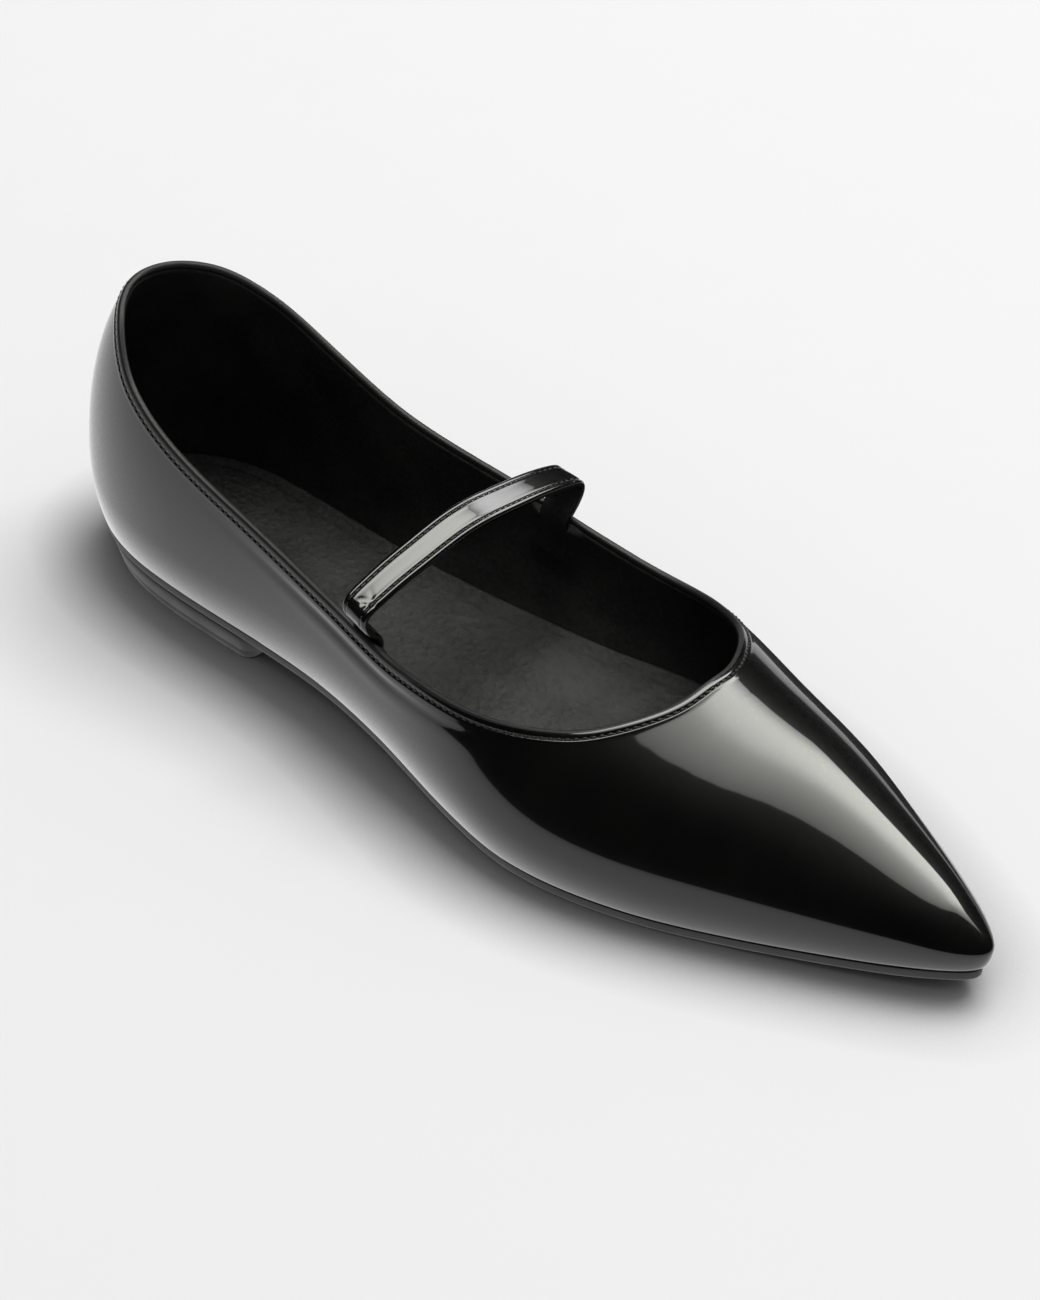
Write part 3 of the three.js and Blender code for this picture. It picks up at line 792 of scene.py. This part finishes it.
def row_at(depth):
    """A line round the collar at a distance from the top line, on the outer face"""
    j = int(np.searchsorted(EDGE_ROWS, depth))
    mix = (depth - EDGE_ROWS[j - 1]) / (EDGE_ROWS[j] - EDGE_ROWS[j - 1])
    a, b = EDGE_IDS[:, j - 1], EDGE_IDS[:, j]
    return POINTS[a] * (1 - mix) + POINTS[b] * mix, NORMALS[a] * (1 - mix) + NORMALS[b] * mix


spots, normals = row_at(STITCH_AT)
verts, faces = thread_row(spots - normals * STITCH_SUNK, normals, STITCH_PITCH, THREAD_THICK)
piece("collar_stitches", verts, faces, THREAD, "upper")


# Plates: the sole, the heel and the insole
def loop_points(turns, inset, z_of):
    """A ring round the sole's edge, drawn in by an inset, as a lateral and a medial line"""
    cuts = [section(side, turns) for side in SIDES]
    return [place(cut, cut.reach - inset(cut), z_of(cut)) for cut in cuts]


def plate(rings, across=1, shape=None):
    """A plate between rings; each ring is a pair of lines, lateral and medial"""
    loops = [np.concatenate([a, b[::-1]]) for a, b in rings]
    count = len(loops[0])
    points = np.concatenate(loops)
    ids = np.arange(len(points)).reshape(len(loops), count).T
    faces = [bands(ids)]
    half = count // 2
    for which, flip in ((0, False), (len(loops) - 1, True)):
        a, b = rings[which]
        shares = np.linspace(0, 1, across + 1)
        sheet = a[:, None] * (1 - shares[None, :, None]) + b[:, None] * shares[None, :, None]
        if shape and which == 0:
            sheet[:, 1:-1, 2] += shape(sheet)[:, 1:-1]
        start = len(points)
        points = np.concatenate([points, sheet.reshape(-1, 3)])
        grid = grid_ids(start, half, across + 1)
        quads = np.stack([grid[:-1, :-1], grid[1:, :-1], grid[1:, 1:], grid[:-1, 1:]], -1).reshape(-1, 4)
        faces.append(quads[:, ::-1] if flip else quads)
    return points, np.concatenate(faces)


TOE_TURN = 0.9
FOOT_TURNS = np.concatenate([np.linspace(0, TOE_TURN, 190, endpoint=False), np.linspace(TOE_TURN, 1, 40)])
# Section of the sole's edge: how far in, height over the tread
SOLE_EDGE = [
    (0.8, SOLE_THICKNESS), (0.2, SOLE_THICKNESS), (0.05, SOLE_THICKNESS - 0.05), (0, SOLE_THICKNESS - 0.2),
    (0, 1.5), (0, 0.9), (0.05, 0.6), (0.17, 0.35), (0.35, 0.15), (0.6, 0), (1.2, 0),
]


def sole_ring(inset, up):
    return loop_points(FOOT_TURNS, lambda cut: inset, lambda cut: tread_height(cut.x) + up)


sole_rings = [sole_ring(SOLE_INSET + inward, up) for inward, up in SOLE_EDGE]
piece("outsole_rubber", *plate(sole_rings), SOLE, "outsole", ["outsole"])


def insole_ring(up, extra=0.0):
    def inset(cut):
        down = 1 - up / cut.rise
        lean = np.hypot(1, 2 * cut.bulge * down / cut.rise)
        return (WALL + INSOLE_GAP + extra) * lean - cut.bulge * (1 - down ** 2)
    return loop_points(FOOT_TURNS, inset, lambda cut: cut.foot_z + up)


# Hollows of the sock at heel and ball: depth, place along and its reach, place across and its reach
HOLLOWS = [(0.5, 42, 30, 0, 16), (0.25, 172, 22, 2, 20)]
# Section of the sock's edge with its soft roll: height over the sock's top, distance inside the wall
SOCK_ROLL = [
    (0, 6.4), (-0.1, 5.4), (-0.3, 4.5), (-0.25, 4.05), (0.1, 3.6), (0.6, 3.15), (0.85, 2.7), (0.8, 2.2),
    (0.5, 1.7), (0.1, 1.25), (-0.2, 0.8), (-0.35, 0.4),
]
SOCK_BANDS = 24


def sock_shape(sheet):
    x, y = sheet[..., 0], sheet[..., 1]
    return sum(-deep * hump(x, at, reach) * hump(y, side, wide) for deep, at, reach, side, wide in HOLLOWS)


insole_rings = [insole_ring(INSOLE_THICKNESS + up, extra) for up, extra in SOCK_ROLL]
insole_rings += [insole_ring(1.0), insole_ring(0)]
piece("sock", *plate(insole_rings, SOCK_BANDS, sock_shape), SOCK, "insole", ["insole"])

CORNER_X = HEEL_LENGTH - HEEL_CORNER
HEEL_TURNS = np.concatenate([
    np.linspace(0, turn_of(CORNER_X), 80, endpoint=False),
    turn_of(CORNER_X + HEEL_CORNER * np.sin(np.linspace(0, np.pi / 2, 14)))])
# Section of the heel's side with its groove: share of the way down, how far in
HEEL_SIDE = [
    (0, 0.5), (0, 0.15), (0.02, 0), (0.3, 0), (0.62, 0), (0.66, 0.12), (0.7, 0), (0.9, 0), (0.95, 0.06),
    (0.985, 0.2), (1, 0.45), (1, 1.0),
]


def heel_ring(drop, extra):
    def inset(cut):
        to_back = np.maximum(1 - cut.x / HEEL_PIVOT, 0)
        past = np.maximum(cut.x - CORNER_X, 0)
        rounding = HEEL_CORNER - np.sqrt(np.maximum(HEEL_CORNER ** 2 - past ** 2, 0))
        taper = (HEEL_TAPER + HEEL_BACK_TAPER * to_back ** 2) * drop
        return SOLE_INSET + HEEL_INSET + taper + rounding + extra
    return loop_points(HEEL_TURNS, inset, lambda cut: (tread_height(cut.x) - GAP) * (1 - drop))


heel_rings = [heel_ring(drop, extra) for drop, extra in HEEL_SIDE]
piece("heel_block", *plate(heel_rings), HEEL, "heel", ["heel"])


# Strap
RAIL_STEPS = 40


def inner_face(side, x, z, clear):
    """How far out the strap's middle lies inside the wall, at a place along and a height"""
    cut = section(side, turn_of(np.array([x])))
    low = share_at(cut, np.array([z]))
    here, above = last_point(cut, low)[0], last_point(cut, low + 0.01)[0]
    lean = abs((above[1] - here[1]) / (above[2] - here[2]))
    return here[1] - side.sign * (WALL + clear) * math.hypot(1, lean)


def rail_knots(x, crown):
    """Points of one edge of the strap, from inside the lateral collar to inside the medial one"""
    clear = GAP + STRAP_STAND_OFF + STRAP_THICKNESS / 2
    halves = []
    for side in SIDES:
        top = float(side.top(np.array([x]))[0])
        low = top - STRAP_TUCK
        points = [(inner_face(side, x, z, clear), z) for z in (low, (top + low) / 2, top)]
        edge = points[-1][0]
        bend = side.sign * STRAP_BEND_OUT
        points += [(edge + bend * out, top + STRAP_BEND_HEIGHT * up) for up, out in STRAP_BEND]
        rise = crown - top - STRAP_BEND_HEIGHT
        points += [(edge * across, crown - rise * (1 - up)) for across, up in STRAP_ARCH]
        halves.append(points)
    knots = np.array([(x, y, z) for y, z in halves[0] + [(0.0, crown)] + halves[1][::-1]])
    return np.concatenate([2 * knots[:1] - knots[1:2], knots, 2 * knots[-1:] - knots[-2:-1]])


def curve_through(knots):
    """A smooth curve through all the knots but the first and the last"""
    curve = []
    for p0, p1, p2, p3 in zip(knots[:-3], knots[1:-2], knots[2:-1], knots[3:]):
        d0, d1, d2 = [math.sqrt(np.linalg.norm(b - a)) for a, b in ((p0, p1), (p1, p2), (p2, p3))]
        t1 = ((p1 - p0) / d0 - (p2 - p0) / (d0 + d1) + (p2 - p1) / d1) * d1
        t2 = ((p2 - p1) / d1 - (p3 - p1) / (d1 + d2) + (p3 - p2) / d2) * d1
        s = np.linspace(0, 1, RAIL_STEPS, endpoint=False)[:, None]
        cube, square = 2 * p1 - 2 * p2 + t1 + t2, -3 * p1 + 3 * p2 - 2 * t1 - t2
        curve.append(cube * s ** 3 + square * s ** 2 + t1 * s + p1)
    return np.concatenate(curve + [knots[-2:-1]])


def rail(x, crown, steps):
    """One edge of the strap in equal steps"""
    curve = curve_through(rail_knots(x, crown))
    far = distances(curve)
    want = np.linspace(0, far[-1], steps)
    return np.stack([np.interp(want, far, curve[:, k]) for k in range(3)], 1)


STRAP_STEPS = 300
STRAP_STITCH = 1.45
back_rail = rail(STRAP_CENTRE - STRAP_WIDTH / 2, STRAP_CROWN + STRAP_TILT / 2, STRAP_STEPS)
front_rail = rail(STRAP_CENTRE + STRAP_WIDTH / 2, STRAP_CROWN - STRAP_TILT / 2, STRAP_STEPS)
EASING = 11
kernel = np.hanning(2 * EASING + 3)[1:-1]
kernel = kernel / kernel.sum()


def eased(line):
    """The line with its bends softened, its ends left as they are"""
    padded = np.concatenate([line[:1]] * EASING + [line] + [line[-1:]] * EASING)
    out = np.stack([np.convolve(padded[:, k], kernel, "valid") for k in range(3)], 1)
    out[:EASING], out[-EASING:] = line[:EASING], line[-EASING:]
    return out


back_rail, front_rail = eased(back_rail), eased(front_rail)
across = front_rail - back_rail
across /= np.linalg.norm(across, axis=1, keepdims=True)
tangent = np.gradient(back_rail, axis=0) + np.gradient(front_rail, axis=0)
upward = np.cross(tangent, across)
upward /= np.linalg.norm(upward, axis=1, keepdims=True)
if upward[STRAP_STEPS // 2, 2] < 0:
    upward = -upward
strap_far = distances((back_rail + front_rail) / 2)


STRAP_SWELL = 0.12
# Rise, distance from the edge and width of the folded edge, the stitch groove and its ridge
STRAP_GROOVE = [(0.05, 0.8, 0.35), (-0.2, STRAP_STITCH, 0.2), (0.03, 2.1, 0.4)]
# Small wrinkles at each bend: place along and across, width, slant, depth
WRINKLES = [(23.0, 5.6, 0.8, 0.45, 0.16), (24.6, 6.4, 0.7, -0.5, 0.13), (20.5, 3.0, 0.9, 0.2, 0.08)]


def strap_relief(u, far):
    fold = humps(np.minimum(u, STRAP_WIDTH - u), STRAP_GROOVE)
    crown = STRAP_SWELL * (1 - ((u - STRAP_WIDTH / 2) / (STRAP_WIDTH / 2)) ** 2)
    total = strap_far[-1]
    wrinkles = 0
    for along, side, width, slant, deep in WRINKLES:
        for centre in (along, total - along):
            shift = far - centre - slant * (u - side)
            wrinkles = wrinkles - deep * hump(shift, 0, width) * hump(u, side, 1.6)
            wrinkles = wrinkles + 0.5 * deep * hump(shift, 1.7 * width, width) * hump(u, side, 2.0)
    return fold + crown + wrinkles


STRAP_EDGE_ROUND = 0.6
STRAP_FINE = 2.8


def strap_loop():
    """Cross section of the strap: across it, up from its middle, and how much of the relief it takes"""
    half, r = STRAP_THICKNESS / 2, STRAP_EDGE_ROUND
    coarse_end = STRAP_WIDTH - STRAP_FINE
    flat = np.concatenate([
        np.linspace(r, STRAP_FINE, 18), np.linspace(STRAP_FINE, coarse_end, 10)[1:-1],
        np.linspace(coarse_end, STRAP_WIDTH - r, 18)])
    arc = np.linspace(0, np.pi, 13)[1:-1]
    right = [(STRAP_WIDTH - r + r * math.sin(a), half * math.cos(a), 0) for a in arc]
    left = [(r - r * math.sin(a), -half * math.cos(a), 0) for a in arc]
    top = [(u, half, 1) for u in flat]
    under = [(u, -half, 0) for u in flat[::-3]]
    return np.array(top + right + under + left)


section_loop = strap_loop()
u, h, take = section_loop.T
u_all = np.broadcast_to(u, (STRAP_STEPS, len(u)))
lift = h + take * strap_relief(u_all, strap_far[:, None])
share = (u / STRAP_WIDTH)[None, :, None]
strap_points = (back_rail[:, None] * (1 - share) + front_rail[:, None] * share
                + upward[:, None] * lift[..., None])
ids = grid_ids(0, STRAP_STEPS, len(u))
faces = bands(ids.T).tolist()
MATTE_BELOW = 0.2
MATTE_INSET = 0.4
low = (h < MATTE_BELOW) & (np.roll(h, -1) < MATTE_BELOW)
below = low & (u > MATTE_INSET) & (u < STRAP_WIDTH - MATTE_INSET)
below_faces = np.repeat(below, STRAP_STEPS - 1)
for end in (ids[0].tolist(), ids[-1].tolist()[::-1]):
    faces += [[end[0], end[k], end[k + 1], end[k + 1]] for k in range(1, len(u) - 1)]
piece("strap_leather", strap_points.reshape(-1, 3), faces, SHINY, "strap", ["strap"],
      under=LINING, under_faces=below_faces)

# The strap's threads end where it goes down inside the collar
STITCHED_FROM, STITCHED_TO = 0.11, 0.89
STRAP_STITCH_SUNK = 0.2
STRAP_THREAD_THICK = THREAD_THICK * 0.9
inside = slice(int(STRAP_STEPS * STITCHED_FROM), int(STRAP_STEPS * STITCHED_TO))
verts, faces = [], []
for u_line in (STRAP_STITCH, STRAP_WIDTH - STRAP_STITCH):
    share = u_line / STRAP_WIDTH
    line = back_rail * (1 - share) + front_rail * share
    line = line + upward * (STRAP_THICKNESS / 2 - STRAP_STITCH_SUNK)
    v, f = thread_row(line[inside], upward[inside], STITCH_PITCH, STRAP_THREAD_THICK, closed=False)
    faces += [[k + len(verts) for k in face] for face in f]
    verts += v.tolist()
piece("strap_stitches", np.array(verts), faces, THREAD, "strap")

# Floor
FLOOR_GREY = 0.80
FLOOR_SIZE = 6
FLOOR_DROP = 0.00005
PAPER_GRAIN = 0.005
CONTACT_SHADOW = 0.022


def sheet(name, middle, width, depth, cover, turn=0.0):
    bpy.ops.mesh.primitive_plane_add(size=1, location=middle, rotation=(0, 0, turn))
    made = bpy.context.object
    made.name = name
    made.scale = (width, depth, 1)
    made.data.materials.append(cover)
    return made


def paper(name, grey):
    made, nodes, links, shader, where = material(name, (grey, grey, grey), 0.9, Specular_IOR_Level=0.0)
    grain = noise(nodes, links, where, 300, 3.0)
    darker, lighter = grey * (1 - PAPER_GRAIN), grey * (1 + PAPER_GRAIN)
    tint = blended(nodes, links, grain.outputs["Fac"], (darker,) * 3, (lighter,) * 3)
    # Ambient occlusion darkens the paper's colour near the shoe: a painted contact shadow
    painted_contact_shadow = nodes.new("ShaderNodeAmbientOcclusion")
    painted_contact_shadow.inputs["Distance"].default_value = CONTACT_SHADOW
    painted_contact_shadow.samples = 4
    links.new(tint, painted_contact_shadow.inputs["Color"])
    links.new(painted_contact_shadow.outputs["Color"], shader.inputs["Base Color"])
    return made


sheet("floor", (0, 0, -FLOOR_DROP), FLOOR_SIZE, FLOOR_SIZE, paper("pale_paper", FLOOR_GREY))

# Camera: the photograph's own place beside the shoe, with its roll, turned to the middle of the shoe
EYE = np.array([451.4, -518.7, 561.5]) / 1000
AIM = np.array([0.0, 0.0, 0.024])
ROLL = math.radians(1.31)
SENSOR = 36
FOCAL = 3790.0 / 1300 * SENSOR
forward = (AIM - EYE) / np.linalg.norm(AIM - EYE)
right = np.cross(forward, (0, 0, 1))
right /= np.linalg.norm(right)
up = np.cross(right, forward)
turned = math.cos(ROLL) * right + math.sin(ROLL) * up
raised = -math.sin(ROLL) * right + math.cos(ROLL) * up
camera = bpy.data.cameras.new("camera")
camera.sensor_width = SENSOR
camera.lens = FOCAL
camera.clip_start, camera.clip_end = 0.01, 20
eye = bpy.data.objects.new("camera", camera)
eye.matrix_world = Matrix([*np.stack([turned, raised, -forward, EYE], 1).tolist(), (0, 0, 0, 1)])
bpy.context.scene.collection.objects.link(eye)
bpy.context.scene.camera = eye

# Light: cards that only the gloss shows, a wide soft box for the floor, and an even room
YAW = math.radians(36.3)


def direction(azimuth, height):
    """Azimuth from straight away to the right in the photograph, height over the floor, in degrees"""
    a, h = math.radians(azimuth), math.radians(height)
    right, away = math.sin(a) * math.cos(h), math.cos(a) * math.cos(h)
    x = math.cos(YAW) * right - math.sin(YAW) * away
    y = math.sin(YAW) * right + math.cos(YAW) * away
    return Vector((x, y, math.sin(h)))


def facing(toward, distance):
    """Place and turn of a flat light that looks back at the shoe from a direction"""
    toward = toward.normalized()
    x = Vector((0, 0, 1)).cross(toward).normalized()
    y = toward.cross(x)
    return Matrix.Translation(toward * distance) @ Matrix((x, y, toward)).transposed().to_4x4()


def soft_box(name, toward, distance, width, height, radiance):
    lamp = bpy.data.lights.new(name, "AREA")
    lamp.shape = "RECTANGLE"
    lamp.size, lamp.size_y = width, height
    lamp.energy = radiance * width * height * math.pi
    obj = bpy.data.objects.new(name, lamp)
    obj.matrix_world = facing(toward, distance)
    bpy.context.scene.collection.objects.link(obj)
    return obj


def gloss_only(obj):
    """Only the gloss of the shoe shows it; the camera and the floor don't"""
    obj.visible_camera = False
    obj.visible_diffuse = False
    obj.visible_shadow = False


def glowing(name):
    made = bpy.data.materials.new(name)
    made.use_nodes = True
    nodes, links = made.node_tree.nodes, made.node_tree.links
    nodes.clear()
    light, out = nodes.new("ShaderNodeEmission"), nodes.new("ShaderNodeOutputMaterial")
    links.new(light.outputs["Emission"], out.inputs["Surface"])
    return made, nodes, links, light, nodes.new("ShaderNodeTexCoord")


def card(name, toward, distance, width, height, emit, turn=0.0, shift=(0, 0), colour=(1, 1, 1)):
    """A glowing card; emit is its glow over its height"""
    glow, nodes, links, light, where = glowing(name)
    light.inputs["Color"].default_value = (*colour, 1)
    split, ramp = nodes.new("ShaderNodeSeparateXYZ"), nodes.new("ShaderNodeFloatCurve")
    links.new(where.outputs["UV"], split.inputs["Vector"])
    links.new(split.outputs["Y"], ramp.inputs["Value"])
    points = ramp.mapping.curves[0].points
    while len(points) < len(emit):
        points.new(0.5, 0.5)
    peak = max(value for _, value in emit)
    for point, (spot, value) in zip(points, emit):
        point.location = (spot, value / peak)
        point.handle_type = "AUTO_CLAMPED"
    ramp.mapping.update()
    scale = nodes.new("ShaderNodeMath")
    scale.operation = "MULTIPLY"
    scale.inputs[1].default_value = peak
    links.new(ramp.outputs["Value"], scale.inputs[0])
    links.new(scale.outputs["Value"], light.inputs["Strength"])
    made = sheet(name, (0, 0, 0), 1, 1, glow)
    flat = Matrix.Rotation(turn, 4, "Z") @ Matrix.Translation((*shift, 0))
    made.matrix_world = facing(toward, distance) @ flat @ Matrix.Diagonal((width, height, 1, 1))
    gloss_only(made)


# The long soft box that the gloss shows, and a dark card on the floor behind the toe that only the gloss
# shows: a painted dark reflection there
BOX_GLOW = 9.5
card("box_in_gloss", direction(30, 61), distance=1.5, width=2.4, height=0.8,
     emit=[(0, 0.17 * BOX_GLOW), (0.3, 0.45 * BOX_GLOW), (0.6, BOX_GLOW), (1, 0.35 * BOX_GLOW)],
     turn=math.radians(-111.8), shift=(-0.3, -0.09), colour=(0.99, 1.0, 0.935))
DARK_CARD_AT = (0.045, 0.105, 0.0006)
DARK_CARD_WIDTH = 0.22
DARK_CARD_DEPTH = 0.115
DARK_GREY = 0.02
black_card = paper("black_card", DARK_GREY)
gloss_only(sheet("dark_card", DARK_CARD_AT, DARK_CARD_WIDTH, DARK_CARD_DEPTH, black_card, YAW))

# A small card over the strap
OVER_STRAP = Vector((-0.227, 0.63, 0.743))
card("strap_card", OVER_STRAP, distance=0.194, width=0.06, height=0.05,
     emit=[(0, 1.5), (0.5, 7.5), (1, 2)])


# A glowing sheet that only the gloss shows, a painted reflection of the floor: bright beside the sole,
# fading away from it, dark past the paper's end
FLOOR_GLOW = [(0, 1.0), (0.02, 1.0), (0.045, 0.82), (0.1, 0.6), (0.14, 0.5), (0.143, 0.06), (1, 0.04)]
GLOW_HEIGHT = 0.0003


def floor_glow(name, stops):
    made, nodes, links, light, where = glowing(name)
    far = nodes.new("ShaderNodeVectorMath")
    far.operation = "LENGTH"
    links.new(where.outputs["Object"], far.inputs[0])
    ramp = nodes.new("ShaderNodeValToRGB")
    for _ in stops[2:]:
        ramp.color_ramp.elements.new(0.5)
    for element, (spot, value) in zip(ramp.color_ramp.elements, stops):
        element.position = spot
        element.color = (value, value, value, 1)
    links.new(far.outputs["Value"], ramp.inputs["Fac"])
    links.new(ramp.outputs["Color"], light.inputs["Color"])
    gloss_only(sheet(name, (0, 0, GLOW_HEIGHT), FLOOR_SIZE, FLOOR_SIZE, made))


floor_glow("floor_in_gloss", FLOOR_GLOW)

# Light on the floor and the dull pieces: a wide soft box overhead and an even room
ROOM_GREY = 0.9
ROOM_STRENGTH = 0.45
lamp = soft_box("key_box", direction(40, 70), distance=3.0, width=2.2, height=2.2, radiance=5.2)
lamp.visible_glossy = False
world = bpy.data.worlds.new("even_room")
bpy.context.scene.world = world
world.use_nodes = True
room = world.node_tree.nodes["Background"]
room.inputs["Color"].default_value = (ROOM_GREY, ROOM_GREY, ROOM_GREY, 1)
room.inputs["Strength"].default_value = ROOM_STRENGTH
world.cycles_visibility.glossy = False
bpy.context.scene.view_settings.view_transform = "Standard"
